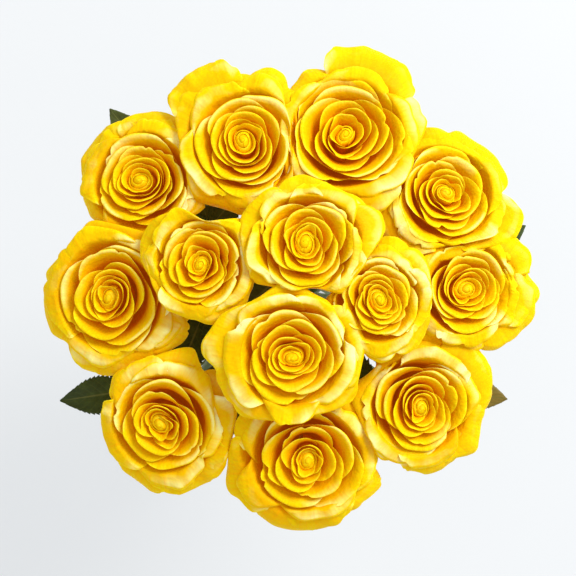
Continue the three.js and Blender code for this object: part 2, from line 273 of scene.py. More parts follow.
def painted_highlight_share(tree, from_rim, whorl):
    """Painted highlight: where a petal is laid over with a creamy pale yellow, in patches by the rims of the
    outer petals where they face up towards the light.
    """
    patches = fade(tree, noise(tree, 3.6, 0.0), (0.43, 0), (0.60, 1))
    margin = fade(tree, from_rim, (0.0, 1), (0.05, 0.9), (0.12, 0.35), (0.20, 0))
    outermost = fade(tree, whorl, (0.35, 0.05), (0.80, 1))
    surface = add_node(tree, "ShaderNodeNewGeometry")
    upward = add_node(tree, "ShaderNodeSeparateXYZ", {0: surface.outputs["Normal"]}).outputs["Z"]
    # painted highlight: strongest where the surface faces straight up, towards the light
    level = fade(tree, upward, (0.76, 0), (0.96, 1))
    near_rim = calc(tree, "MULTIPLY", calc(tree, "MULTIPLY", margin, level), outermost)
    return calc(tree, "MULTIPLY", near_rim, patches)


def petal_material():
    """Satin yellow, finely veined. It has a painted highlight of creamy pale yellow at the upward-facing
    rims of the outer petals, and is gold on the blades. It turns orange down in the throat, partly the
    petals' own colour and partly painted shade, and has a faint painted glow all over.
    Marks are the place across, the way from the rim, and the whorl from the heart (0) outwards (1)."""
    material, tree, shader = new_material("rose_petal")
    across, from_rim, whorl = marks_of(tree, "petal")
    uneven = calc(tree, "MULTIPLY_ADD", noise(tree, 60.0, 2.0), 0.10, -0.05)
    depth = calc(tree, "ADD", from_rim, uneven)
    # partly painted shade: the colour darkens and turns orange with depth below the rim
    golden_and_shaded = mix(tree, whorl, ramp(tree, depth, HEART_COLOURS_AND_SHADE), ramp(tree, depth, GUARD_COLOURS_AND_SHADE))
    painted_highlight = painted_highlight_share(tree, from_rim, whorl)
    # painted highlight laid over the petal's colour
    body = mix(tree, painted_highlight, golden_and_shaded, PAINTED_CREAM_HIGHLIGHT)
    veins = noise(tree, 1.0, 3.0, 0.6, stretched(tree, (across, 26.0), (from_rim, 2.2), (whorl, 60.0)))
    drawn = fade(tree, veins, (0.42, 0), (0.7, 0.4))
    vein_share = calc(tree, "MULTIPLY", drawn, calc(tree, "SUBTRACT", 1.0, painted_highlight))
    fine = bump(tree, veins, 0.35, 0.0004)
    feed(tree, shader, {
        "Base Color": mix(tree, vein_share, body, PETAL_VEINS),
        "Roughness": 0.48, "IOR": 1.38, "Specular IOR Level": 0.04, "Subsurface Weight": 0.15,
        "Subsurface Radius": (1.0, 0.5, 0.03), "Subsurface Scale": 0.001,
        # Painted glow: every petal gives off a faint orange light, standing in for light passed through and
        # between the petals.
        "Emission Color": PAINTED_PETAL_GLOW, "Emission Strength": 0.08,
        "Normal": bump(tree, noise(tree, 14.0, 2.0), 0.3, 0.004, Normal=fine),
    })
    return material


def leaf_material():
    """Dark waxy leaf: marks are the place across (-1 to 1), along (0 to 1) and a shade for the leaflet."""
    material, tree, shader = new_material("rose_leaf")
    across, along, shade = marks_of(tree)
    off_middle = calc(tree, "ABSOLUTE", across)
    slanted = calc(tree, "MULTIPLY_ADD", off_middle, -VEIN_SLANT, along)
    wave = calc(tree, "COSINE", calc(tree, "MULTIPLY", slanted, SIDE_VEINS * TURN))
    side_veins = fade(tree, wave, (0.90, 0), (1.0, 0.6))
    midrib = fade(tree, off_middle, (0.0, 1), (0.07, 0))
    mottle = noise(tree, 9.0, 4.0, 0.65)
    aged = mix(tree, shade, ramp(tree, mottle, LEAF_GREENS), LEAF_DRY)
    veined = mix(tree, side_veins, aged, LEAF_SIDE_VEIN)
    feed(tree, shader, {
        "Base Color": mix(tree, midrib, veined, LEAF_MIDRIB),
        "Roughness": 0.46, "Specular IOR Level": 0.25,
        "Normal": bump(tree, mottle, 0.5, 0.0006),
    })
    return material


def stem_material():
    """Green bark with fine length-wise fibres, blushed red on thorns and pale brown where it is cut.
    Marks are the blush (0 to 1), nothing, and the cut (0 or 1)."""
    material, tree, shader = new_material("rose_stem")
    blush, _, cut = marks_of(tree)
    where = add_node(tree, "ShaderNodeTexCoord").outputs["Object"]
    fine = add_node(tree, "ShaderNodeMapping", {"Vector": where, "Scale": (900, 900, 60)})
    fibres = noise(tree, 1.0, 3.0, vector=fine.outputs[0])
    bark = mix(tree, noise(tree, 40.0, 3.0, vector=where), BARK_DARK, BARK_PALE)
    streaked = mix(tree, fade(tree, fibres, (0.45, 0), (0.75, 0.5)), bark, BARK_FIBRE)
    blushed = mix(tree, blush, streaked, BARK_BLUSH)
    feed(tree, shader, {
        "Base Color": mix(tree, cut, blushed, CUT_WOOD),
        "Roughness": 0.5,
        "Normal": bump(tree, fibres, 0.4, 0.0003),
    })
    return material


def sepal_material():
    """Matt grey-green hip and sepals, paler and downy inside, brown at the tips.
    Marks are the tip (0 to 1), nothing, and the inside (0 or 1)."""
    material, tree, shader = new_material("rose_sepal")
    tip, _, inside = marks_of(tree)
    mottle = noise(tree, 22.0, 4.0, 0.7)
    downy = mix(tree, inside, ramp(tree, mottle, SEPAL_GREENS), SEPAL_DOWN)
    ends = fade(tree, tip, (0.6, 0), (1.0, 0.6))
    feed(tree, shader, {
        "Base Color": mix(tree, ends, downy, SEPAL_TIP),
        "Roughness": 0.7, "Sheen Weight": 0.15,
        "Normal": bump(tree, mottle, 0.4, 0.0004),
    })
    return material


def twine_material():
    """Natural jute: marks are the place round the cord, along it in metres, and a shade."""
    material, tree, shader = new_material("jute_twine")
    around, along, shade = marks_of(tree)
    fibres = noise(tree, 1.0, 5.0, 0.7, stretched(tree, (around, 9.0), (along, 260.0)))
    feed(tree, shader, {
        "Base Color": mix(tree, shade, ramp(tree, fibres, JUTE_COLOURS), JUTE_PALE),
        "Roughness": 0.9,
        "Normal": bump(tree, fibres, 0.7, 0.0005),
    })
    return material


def floor_material():
    material, tree, shader = new_material("pale_floor")
    feed(tree, shader, {
        "Base Color": ramp(tree, noise(tree, 3.0, 2.0), FLOOR_GREYS),
        "Roughness": 0.9, "Emission Color": FLOOR_GLOW, "Emission Strength": 0.555,
    })
    return material


PETAL = petal_material()
SEPAL = sepal_material()
STEM = stem_material()
LEAF = leaf_material()
TWINE = twine_material()


# ---- mesh helpers

class Builder:
    """Collects shells and tubes, in millimetres, into one mesh."""

    def __init__(self):
        self.verts, self.faces, self.marks, self.count = [], [], [], 0

    def add(self, verts, faces, marks):
        self.verts.append(verts)
        self.marks.append(marks)
        self.faces.extend([[i + self.count for i in face] for face in faces])
        self.count += len(verts)

    def shell(self, points, thickness, marks):
        """A closed sheet from a grid of points: two faces and an edge all round."""
        rows, columns = points.shape[:2]
        du = np.gradient(points, axis=0)
        dv = np.gradient(points, axis=1)
        normal = np.cross(du, dv)
        normal /= np.linalg.norm(normal, axis=2, keepdims=True) + 1e-9
        half = np.asarray(thickness)[..., None] / 2 * np.ones((rows, columns, 1))
        outer, inner = points + normal * half, points - normal * half
        both = np.concatenate([outer.reshape(-1, 3), inner.reshape(-1, 3)])
        index = np.arange(rows * columns).reshape(rows, columns)
        a, b, c, d = index[:-1, :-1], index[1:, :-1], index[1:, 1:], index[:-1, 1:]
        front = np.stack([a, b, c, d], -1).reshape(-1, 4)
        back = front[:, ::-1] + rows * columns
        loop = np.concatenate([index[0, :-1], index[:-1, -1], index[-1, :0:-1], index[:0:-1, 0]])
        after = np.roll(loop, -1)
        rim = np.stack([loop, after, after + rows * columns, loop + rows * columns], -1)
        faces = np.concatenate([front, back, rim]).tolist()
        self.add(both, faces, np.tile(marks.reshape(-1, 3), (2, 1)))

    def finish(self, name, material, node, marks_name="marks"):
        """Makes a smooth piece in metres, which rides on the bunch and stands for a CAD node."""
        mesh = bpy.data.meshes.new(name)
        mesh.from_pydata((np.concatenate(self.verts) * MM).tolist(), [], self.faces)
        layer = mesh.attributes.new(marks_name, "FLOAT_VECTOR", "POINT")
        layer.data.foreach_set("vector", np.concatenate(self.marks).astype(np.float32).ravel())
        mesh.materials.append(material)
        mesh.polygons.foreach_set("use_smooth", [True] * len(mesh.polygons))
        mesh.update()
        piece = bpy.data.objects.new(name, mesh)
        SCENE.collection.objects.link(piece)
        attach(piece, BODY)
        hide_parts(node)


# ---- roses

CURVE_STEPS = 24  # between one given point and the next


def smooth_curve(points, count):
    """A Catmull-Rom curve through points, sampled evenly along its length."""
    p = np.asarray(points, float)
    p = np.vstack([2 * p[0] - p[1], p, 2 * p[-1] - p[-2]])
    fine = []
    for i in range(1, len(p) - 2):
        t = np.linspace(0, 1, CURVE_STEPS, endpoint=False)[:, None]
        a, b, c, d = p[i - 1], p[i], p[i + 1], p[i + 2]
        fine.append(0.5 * (2 * b + (c - a) * t + (2 * a - 5 * b + 4 * c - d) * t**2
                           + (3 * b - a - 3 * c + d) * t**3))
    fine = np.vstack(fine + [p[-2:-1]])
    length = np.concatenate([[0], np.cumsum(np.linalg.norm(np.diff(fine, axis=0), axis=1))])
    at = np.linspace(0, length[-1], count)
    return np.stack([np.interp(at, length, fine[:, k]) for k in range(p.shape[1])], -1)


def lerp(a, b, t):
    return a + (b - a) * t


# Which blooms' loose petals lie over their neighbours', the topmost first.
OVERLAP_ORDER = ["13", "11", "10", "12", "03", "06", "02", "04", "08", "09", "01", "05", "07"]

# Guard petals that reach further out than the rest: heading in degrees from +X, and reach in millimetres.
LONG_PETALS = {
    "01": [(100, 37), (150, 41), (190, 36)],
    "02": [(72, 43), (128, 53), (168, 46)],
    "03": [(68, 54), (112, 40), (25, 36)],
    "04": [(95, 39), (50, 40), (10, 35), (-36, 46)],
    "05": [(62, 44), (8, 41), (-35, 43)],
    "06": [(30, 47), (-25, 39), (-68, 40)],
    "07": [(-30, 41), (-75, 43), (-162, 46)],
    "08": [(-60, 42), (-100, 41), (165, 31), (-13, 43)],
    "09": [(118, 31), (160, 37), (-160, 41), (-110, 45), (-42, 47)],
    "11": [(42, 37)],
}

# Where a rose holds back so that leaves show between the heads: heading and reach, as above.
GAP_OPENING = 80.0  # how fast a gap widens to its sides
GAPS = {
    "02": [(-110, 40)],
    "06": [(143, 36)],
    "10": [(80, 25), (-27, 34)],
    "11": [(-85, 26), (-137, 38)],
    "12": [(170, 31), (-97, 42)],
    "13": [(65, 38), (119, 39), (-11, 43)],
}


FAR_AWAY = 1e3  # mm to a neighbour that a direction doesn't run towards
SIDEWAYS = 1e-4
WALL_BLEND = 4  # mm over which one neighbour's place, over or under, gives way to the next one's


def room_function(name):
    """How far a rose may reach from its axis, before it meets its neighbours' share, and whether it lies
    over (1) or under (-1) the neighbour it meets there."""
    own = FRAMES[name]
    walls = []
    for other_name, other in FRAMES.items():
        if other_name == name:
            continue
        across = other["middle"] - own["middle"]
        apart = np.linalg.norm(across)
        share = (apart**2 + own["radius"]**2 - other["radius"]**2) / (2 * apart)
        over = 1 if OVERLAP_ORDER.index(name) < OVERLAP_ORDER.index(other_name) else -1
        walls.append((across / apart, share, over))

    def room(axis_points, directions, overhang):
        reaches, signs = [], []
        for across, share, over in walls:
            edge = share + overhang[0 if over > 0 else 1]
            to_wall = edge - (axis_points - own["middle"]) @ across
            speed = directions @ across
            reaches.append(np.where(speed > SIDEWAYS, to_wall / np.maximum(speed, SIDEWAYS), FAR_AWAY))
            signs.append(over)
        reaches = np.array(reaches)
        nearest = reaches.min(0)
        weight = np.exp(-(reaches - nearest) / WALL_BLEND)
        lie = np.tensordot(np.array(signs, float), weight, 1) / weight.sum(0)
        return nearest, lie

    return room


MIDDLE_RADIUS = 39.0  # mm, of the bloom that the petals' sizes are given for; q is a bloom's share of it
DOME_DROP = 13  # mm by which the bloom's top is lower at its side
DOME_RADIUS = 42
DOME_POWER = 2.6


def dome(radius, height, q):
    """The height of the bloom's rounded top at a distance from its axis."""
    return height - DOME_DROP * (radius / (DOME_RADIUS * q)) ** DOME_POWER


def bud_profile(spec):
    """Up the side of the closed bud and over its shoulder, towards the middle."""
    belly, top, rim, foot = spec["belly"], spec["top"], spec["rim"], spec["foot"]
    shoulder = 5.0
    last = math.acos(min(0.98, rim / belly))
    over = [(belly * math.cos(a), top - shoulder + shoulder * math.sin(a))
            for a in np.linspace(0.25, 1, 4) * last]
    return [(spec["base"], foot), (belly * 0.8, foot + 10),
            (belly, top - shoulder - 5), (belly, top - shoulder)] + over


def cup_profile(spec):
    """Up close beside the petal inside it, then flaring out to a thin rim that turns over."""
    rim, top, curl, foot, flare = spec["rim"], spec["top"], spec["curl"], spec["foot"], spec["flare"]
    neck = rim - flare
    shelf = top - spec["slope"] * flare
    wall = [(lerp(spec["base"], neck - 1.6, w), lerp(foot, shelf - 6, h))
            for w, h in ((0, 0), (0.5, 0.3), (0.82, 0.65), (1, 1))]
    return wall + [(neck - 0.5, shelf - 1.6), (neck + 0.4 * flare, lerp(shelf, top, 0.55)),
                   (neck + 0.8 * flare, lerp(shelf, top, 0.92)), (rim, top),
                   (rim + 0.45 * curl, top - 0.15 * curl), (rim + 0.8 * curl, top - 0.6 * curl)]


def guard_profile(spec):
    """A bowl round the cup, then out over a low crest to a broad loose rim that droops."""
    rim, top, droop, foot, crest = spec["rim"], spec["top"], spec["curl"], spec["foot"], spec["crest"]
    rise = top - foot
    return [(spec["base"], foot), (0.42 * crest, foot + 0.13 * rise), (0.72 * crest, foot + 0.40 * rise),
            (0.90 * crest, foot + 0.74 * rise),
            (lerp(crest, rim, 0.18), top - 0.4), (lerp(crest, rim, 0.4), top),
            (lerp(crest, rim, 0.65), top - 0.25 * droop), (lerp(crest, rim, 0.88), top - 0.6 * droop),
            (rim, top - droop), (rim + 0.9, top - droop - 0.9), (rim + 1.1, top - droop - 2.2)]


PROFILES = {"bud": bud_profile, "cup": cup_profile, "guard": guard_profile}
NARROWEST_RIM = 0.6  # mm: the middle petal closes to a point, but is laid out as if it were this wide
COLOUR_DEPTH = 50.0  # mm from the rim over which a petal's colour, with its painted shade, runs


def rolled(x, y, folds):
    """Rolls a flat petal's margins back along straight folds.
    Gives where each point moves, and how far it drops."""
    drop = np.zeros_like(x)
    for heading, reach, bend, most in folds:
        nx, ny = math.sin(heading), math.cos(heading)
        beyond = np.maximum(x * nx + y * ny - reach, 0)
        turned = np.minimum(beyond / bend, most)
        flap = np.maximum(beyond - most * bend, 0)
        stays = bend * np.sin(turned) + flap * math.cos(most)
        x = x - nx * (beyond - stays)
        y = y - ny * (beyond - stays)
        drop = drop + bend * (1 - np.cos(turned)) + flap * math.sin(most)
    return x, y, drop


ROW_CROWDING = 1.7  # how much closer the rows of points are by the rim
FRAY_WAVES = ((8, 1.0), (17, 0.6), (29, 0.35))  # across a petal, and their depth
RUFFLES = ((1.5, 1.0), (3.2, 0.7), (6.1, 0.3), (10.5, 0.12))
LAID_FLAT = 0.8  # the share of its rim's radius at which a petal is laid out flat to be rolled
TIP_WIDTH = 0.22


def petal_outline(rng, spec, s):
    """How long the petal is at each place across it, with its notches and its frayed rim."""
    outline = 1 - spec["round"] * np.abs(s) ** spec["square"]
    for place, depth, width in spec["notches"]:
        outline = outline - depth * np.exp(-((s - place) / width) ** 2)
    for wave, amount in FRAY_WAVES:
        outline = outline + spec["fray"] * amount * np.sin(wave * s + rng.uniform(0, TURN))
    return outline


def petal_grid(rng, spec, rows, columns):
    """One petal round the bloom's axis, as (angle, radius, height) on a grid, with its colour marks."""
    s = np.linspace(-1, 1, columns)[None, :]
    t = 1 - (1 - np.linspace(0, 1, rows)[:, None]) ** ROW_CROWDING
    outline = petal_outline(rng, spec, s)
    at = t * outline
    profile = smooth_curve(PROFILES[spec["kind"]](spec), 160)
    length = np.linalg.norm(np.diff(profile, axis=0), axis=1).sum()
    flat_radius = max(spec["rim"], NARROWEST_RIM) * LAID_FLAT
    x = spec["half"] * flat_radius * s * np.ones_like(t)
    x, y, drop = rolled(x, at * length, [(h, (length - cut) * math.cos(h), bend, most)
                                         for h, cut, bend, most in spec["folds"]])
    steps = np.linspace(0, length, len(profile))
    radius = np.interp(y, steps, profile[:, 0])
    height = np.interp(y, steps, profile[:, 1]) - drop
    radius = radius * (1 + spec["tuck"] * s * spec["turn"] + spec["flat"] * (s * s - 0.3))
    radius = radius + spec["swell"] * at ** 2 * (2 * np.cos(s * TURN / 4) - 1)
    grow = (at / outline.max()) ** 3
    for wave, amount in RUFFLES:
        phases = rng.uniform(0, TURN, 2)
        radius = radius + spec["ruffle"] * amount * grow * np.sin(wave * s * 1.6 + phases[0])
        height = height + spec["ruffle"] * 1.1 * amount * grow * np.sin(wave * s * 1.6 + phases[1])
    height = height + spec["crimp"] * t ** 12 * np.sin(21 * s + rng.uniform(0, TURN)) * np.sin(5 * s + 1)
    tip = np.exp(-((s - spec["tip_at"]) / TIP_WIDTH) ** 2) * t ** 5
    radius = np.maximum(radius + spec["point"] * tip, 0)
    from_rim = (outline - at) * length / COLOUR_DEPTH
    marks = np.stack([x / flat_radius, from_rim, spec["whorl"] + 0 * at], -1)
    return spec["angle"] + x / flat_radius, radius, height, marks


HEART_PETALS = 7
CUP_PETALS = 10
GUARD_RING = 5  # broad petals in each of the two rings
FRAY = {"bud": 0, "cup": 0.004, "guard": 0.019}
GRID = {"bud": (18, 44), "cup": (24, 36), "guard": (30, 48)}  # rows and columns of points
SPIRAL = 137.5  # degrees from one petal to the next


def heart_petals(rng, height):
    """The closed spiral bud."""
    size = rng.uniform(0.9, 1.2)
    specs = []
    for u in np.linspace(0, 1, HEART_PETALS):
        specs.append({
            "kind": "bud", "rim": 5.0 * u ** 0.9 * size, "belly": lerp(3.0, 6.2, u) * size,
            "top": height - 1.0 - 0.9 * u + rng.uniform(-0.2, 0.2),
            "half": math.radians(lerp(175, 115, u)), "tuck": lerp(0.22, 0.10, u),
            "ruffle": 0.14 * u, "round": 0.05 * u, "flat": 0.05 * u, "point": -0.6 * u * rng.random(),
            "base": lerp(0.8, 1.6, u), "foot": 10.0, "whorl": 0.1 * u, "crimp": 0, "swell": 0,
        })
    return specs


def throat_petals(rng, q, height):
    """Upright petals round the bud, close together on one side and open on the other."""
    count = rng.integers(6, 9)
    rims = 6.3 + (7.2 * q) * np.cumsum(rng.uniform(0.3, 1.6, count)) / count
    specs = []
    for k, (u, rim) in enumerate(zip(np.linspace(0, 1, count), rims)):
        pointed = rng.random() < 0.35
        gap = rim - (rims[k - 1] if k else 5.2)
        specs.append({
            "kind": "cup", "rim": rim, "flare": gap + 1.2, "slope": lerp(3.4, 2.0, u),
            "top": dome(rim, height, q) + rng.uniform(-0.9, 0.4),
            "curl": lerp(0.25, 0.5, u), "swell": rng.uniform(0.0, 0.5),
            "half": math.radians(lerp(115, 92, u) * (0.8 if pointed else 1)),
            "tuck": lerp(0.12, 0.08, u), "ruffle": 0.22, "round": 0.2, "flat": rng.uniform(0, 0.12),
            "point": rng.uniform(1.2, 2.4) if pointed else rng.uniform(-0.5, 0.5),
            "base": lerp(1.8, 2.6, u), "foot": 9.0, "whorl": lerp(0.12, 0.25, u), "crimp": 0,
        })
    return specs


def cup_petals(rng, q, height, first):
    """The overlapping bands that make the round of the bloom, from the radius where the throat ends."""
    steps = rng.uniform(0.6, 1.5, CUP_PETALS)
    rims = first + (28.5 * q - first) * np.cumsum(steps) / steps.sum()
    mean_gap = (rims[-1] - first) / CUP_PETALS
    specs = []
    for k, (u, rim) in enumerate(zip(np.linspace(0, 1, CUP_PETALS), rims)):
        gap = rim - (rims[k - 1] if k else first)
        specs.append({
            "kind": "cup", "rim": rim, "flare": gap + 3.2, "slope": lerp(1.7, 0.8, u),
            "top": dome(rim, height, q) + rng.uniform(-0.5, 0.5),
            "curl": lerp(0.5, 1.5, u), "swell": mean_gap * lerp(0.5, 0.9, u),
            "half": math.radians(lerp(92, 70, u)), "tuck": lerp(0.09, 0.05, u),
            "ruffle": lerp(0.25, 0.5, u), "round": 0.26, "flat": rng.uniform(0.02, 0.13),
            "point": rng.uniform(-0.3, 1.8), "base": lerp(2.8, 4.2, u), "foot": lerp(8, 4, u),
            "whorl": lerp(0.3, 0.65, u), "crimp": 0.08,
        })
    return specs


def apart(a, b):
    """The angle between two headings."""
    return abs((a - b + math.pi) % TURN - math.pi)


def guard_petals(rng, q, height, longer):
    """Two loose rings of broad petals with rolled margins. longer are the headings and reaches of named
    petals, which take the place of the outer petals beside them."""
    first = rng.uniform(0, TURN)
    rings = [[(first + TURN * (k + shift + rng.uniform(-0.15, 0.15)) / GUARD_RING, rng.uniform(*reach) * q)
              for k in range(GUARD_RING)] for shift, reach in ((0, (33, 38)), (0.5, (40, 45)))]
    named = [(math.radians(heading), 1.1 * reach) for heading, reach in longer]
    outer = [petal for petal in rings[1] if all(apart(petal[0], name[0]) > 0.45 for name in named)]
    petals = rings[0] + outer + named
    specs = []
    for k, (heading, rim) in enumerate(petals):
        loose = k >= GUARD_RING
        u = k / (len(petals) - 1)
        folds = []
        for side in (-1, 1):
            if rng.random() < 0.75:
                folds.append((side * math.radians(rng.uniform(20, 50)), rng.uniform(-9, 0),
                              rng.uniform(1.5, 3.2), rng.uniform(1.0, 2.4)))
        crest = lerp(27.0, 30, u) * q
        droop = (rng.uniform(3, 6) if loose else rng.uniform(0.5, 3)) + 0.2 * (rim - 36 * q)
        narrowed = 1 if k < len(petals) - len(named) else 0.84 if rim < 50 else 0.68
        half = rng.uniform(50, 62) * narrowed
        specs.append({
            "kind": "guard", "rim": rim, "crest": crest, "curl": droop, "half": math.radians(half),
            "top": dome(crest, height, q) - (3.5 if loose else 0.5), "tuck": 0.03,
            "ruffle": lerp(0.8, 1.8, u), "round": rng.uniform(0.14, 0.32), "flat": rng.uniform(0, 0.06),
            "point": rng.uniform(-1, 4.5), "base": lerp(4.4, 5.6, u), "foot": lerp(3.5, 1, u),
            "whorl": lerp(0.75, 1.0, u), "crimp": 0.6, "folds": folds, "heading": heading, "swell": 0,
        })
    return specs


def rose_petals(rng, own, turn, longer):
    """The specs of a bloom's petals, from the heart outwards."""
    q, height = own["radius"] / MIDDLE_RADIUS, own["height"]
    throat = throat_petals(rng, q, height)
    specs = (heart_petals(rng, height) + throat + cup_petals(rng, q, height, throat[-1]["rim"])
             + guard_petals(rng, q, height, longer))
    angle = rng.uniform(0, TURN)
    for spec in specs:
        angle += turn * math.radians(SPIRAL + rng.uniform(-16, 16))
        spec["angle"] = spec.get("heading", angle)
        spec["turn"] = turn
        spec["square"] = rng.uniform(2.4, 3.6)
        spec["tip_at"] = rng.uniform(-0.3, 0.3)
        spec.setdefault("folds", [])
        spec["fray"] = FRAY[spec["kind"]]
        count = rng.integers(0, 3) if spec["whorl"] > 0.4 else 0
        spec["notches"] = [(rng.uniform(-0.7, 0.7), rng.uniform(0.015, 0.06), rng.uniform(0.03, 0.09))
                           for _ in range(count)]
        spec["overhang"] = (rng.uniform(1, 9), rng.uniform(-3, 4)) if spec["kind"] == "guard" else (0, -0.3)
    return specs


def add_core(builder, own, shift):
    """The rolled middle of the bud, which closes its hollow."""
    profile = np.array([(0.0, 2.4), (0.9, 2.6), (1.9, 3.6), (2.4, 6), (2.4, 16)])  # radius and depth
    around = np.linspace(0, TURN, 25)
    radius = profile[:, :1] * np.ones_like(around)
    level = own["height"] - profile[:, 1:] + 0.35 * np.cos(around - 1) * (radius > 0)
    direction = np.cos(around)[:, None] * own["side"] + np.sin(around)[:, None] * own["up"]
    points = own["seat"] + level[..., None] * own["axis"] + radius[..., None] * direction + shift
    marks = np.stack([0 * radius, 0.08 + 0 * radius, 0 * radius], -1)
    builder.shell(points[::-1], 0.2 + 0 * radius, marks)


LEAST_ROOM = 6  # mm
SOFT_FROM = 0.86  # the share of its room from which a petal is pressed back
LIE_HEIGHT = 3.5  # mm by which it lies over or under its neighbour's petals
PETAL_THICKNESS = 0.32


def squeezed_in(name, spec, own, room, angle, radius, height, direction):
    """Where a petal's points lie once its neighbours and the gaps beside it have pressed it inwards."""
    limit, lie = room(own["seat"] + height[..., None] * own["axis"], direction, spec["overhang"])
    for gap_heading, reach in GAPS.get(name, []):
        off = 1 - np.cos(angle - math.radians(gap_heading))
        limit = np.minimum(limit, reach + GAP_OPENING * off)
    limit = np.maximum(limit, LEAST_ROOM)
    soft = SOFT_FROM * limit
    pressed = soft + (limit - soft) * np.tanh((radius - soft) / (limit - soft))
    pressed = np.where(radius > soft, pressed, radius)
    lifted = height + 0.2 * (radius - pressed)
    if spec["kind"] == "guard":
        near = np.clip((pressed / limit - 0.5) / 0.5, 0, 1)
        lifted = lifted + LIE_HEIGHT * lie * near * near
    return pressed, lifted


def make_rose(name, seed):
    """A bloom: every petal a thin closed shell, in a slightly oval whorl round a heart that leans."""
    rng = np.random.default_rng(seed)
    own = FRAMES[name]
    side, up, axis = own["side"], own["up"], own["axis"]
    room = room_function(name)
    turn = 1 if rng.random() < 0.5 else -1
    lean = rng.uniform(0, TURN)
    heart_lean = rng.uniform(0.4, 1.8) * (math.cos(lean) * side + math.sin(lean) * up)
    oval = rng.uniform(0, TURN)
    builder = Builder()
    add_core(builder, own, heart_lean)
    for spec in rose_petals(rng, own, turn, LONG_PETALS.get(name, [])):
        angle, radius, height, marks = petal_grid(rng, spec, *GRID[spec["kind"]])
        direction = np.cos(angle)[..., None] * side + np.sin(angle)[..., None] * up
        pressed, lifted = squeezed_in(name, spec, own, room, angle, radius, height, direction)
        pressed = pressed * (1 + 0.12 * np.clip(1.3 - radius / 20, 0, 1) * np.cos(2 * angle - oval))
        heart_shift = np.clip(1.5 - radius / 9, 0, 1)[..., None] * heart_lean
        points = own["seat"] + lifted[..., None] * axis + pressed[..., None] * direction + heart_shift
        thinned = np.minimum(1, marks[..., 1] * 20 + 0.35)
        builder.shell(points, PETAL_THICKNESS * thinned, marks)
    builder.finish(f"petals_{name}", PETAL, f"bloom_{name}", "petal")


for number, name in enumerate(ROSES):
    make_rose(name, 100 + number)


# ---- tubes

ASLANT = (0.3, 0.9, 0.2)  # a direction that no path starts along


def tube(path, radii, sides, marks, section=None):
    """A closed tube along a path: corners, faces and marks. section(angle, k) swells its outline."""
    path = np.asarray(path, float)
    tangent = np.gradient(path, axis=0)
    tangent /= np.linalg.norm(tangent, axis=1, keepdims=True)
    normal = np.zeros_like(path)
    normal[0] = unit(np.cross(tangent[0], ASLANT))
    for k in range(1, len(path)):
        normal[k] = unit(normal[k - 1] - tangent[k] * (normal[k - 1] @ tangent[k]))
    across = np.cross(tangent, normal)
    angle = np.linspace(0, TURN, sides, endpoint=False)
    radii = np.broadcast_to(radii, len(path))
    verts = np.zeros((len(path), sides, 3))
    for k in range(len(path)):
        swell = section(angle, k) if section else 1.0
        ring = np.cos(angle)[:, None] * normal[k] + np.sin(angle)[:, None] * across[k]
        verts[k] = path[k] + radii[k] * np.asarray(swell)[..., None] * ring
    index = np.arange(len(path) * sides).reshape(len(path), sides)
    after = np.roll(index, -1, axis=1)
    quads = np.stack([index[:-1], after[:-1], after[1:], index[1:]], -1).reshape(-1, 4)
    faces = quads.tolist() + [index[0, ::-1].tolist(), index[-1].tolist()]
    marks = np.broadcast_to(np.asarray(marks, float)[:, None, :], (len(path), sides, 3)).reshape(-1, 3)
    return verts.reshape(-1, 3), faces, marks.copy()


# ---- stems

STEM_SIDES = 14
STEM_NODES = np.arange(0.12, 0.95, 0.17)  # where leaves once grew, as shares of the stem's length
NODE_SWELL, NODE_LENGTH = 0.13, 4.5
BLUSH, BLUSH_LENGTH = 0.25, 6
LEVEL_RINGS = 4  # over which a stem's rings turn level towards its cut foot
THORN_LENGTH = 4.6


def make_stem(name, seed):
    """A round stem through the CAD stem's rings, swollen at its nodes, with a few thorns, cut level."""
    rng = np.random.default_rng(seed)
    rings = stem_rings(f"stem_{name}")
    pts = corners(f"stem_{name}")
    width = 2 * np.linalg.norm(pts[pts[:, 2] > pts[:, 2].max() - RING_SPREAD] - rings[-1], axis=1).mean()
    path = smooth_curve(rings, 150)
    length = np.linalg.norm(np.diff(path, axis=0), axis=1).sum()
    along = np.linspace(0, 1, len(path))
    nodes = STEM_NODES + rng.uniform(-0.03, 0.03, len(STEM_NODES))
    swell = 1 + sum(NODE_SWELL * np.exp(-((along - at) * length / NODE_LENGTH) ** 2) for at in nodes)
    radii = width / 2 * 0.97 * swell
    blush = BLUSH * sum(np.exp(-((along - at) * length / BLUSH_LENGTH) ** 2) for at in nodes)
    marks = np.stack([blush, 0 * along, 0 * along], -1)
    builder = Builder()
    verts, faces, stem_marks = tube(path, radii, STEM_SIDES, marks)
    slant = unit(path[1] - path[0])
    for ring in range(LEVEL_RINGS):
        rows = slice(ring * STEM_SIDES, (ring + 1) * STEM_SIDES)
        level = verts[rows] - np.outer(verts[rows, 2] - path[ring, 2], slant / slant[2])
        verts[rows] = lerp(level, verts[rows], ring / LEVEL_RINGS)
    verts[:STEM_SIDES, 2] = 0
    builder.add(verts, faces[:-2] + [faces[-1]], stem_marks)
    face_marks = np.tile((0, 0, 1.0), (STEM_SIDES, 1))
    builder.add(verts[:STEM_SIDES].copy(), [list(range(STEM_SIDES))[::-1]], face_marks)
    for at in nodes[1:] + rng.uniform(0.03, 0.1, 4):
        k = int(np.clip(at, 0.1, 0.93) * (len(path) - 1))
        forward = unit(path[k + 1] - path[k])
        heading = rng.uniform(0, TURN)
        out = np.cross(forward, (math.cos(heading), math.sin(heading), 0.1))
        add_thorn(builder, path[k], forward, unit(out), radii[k], rng)
    builder.finish(f"rose_stem_{name}", STEM, f"stem_{name}")


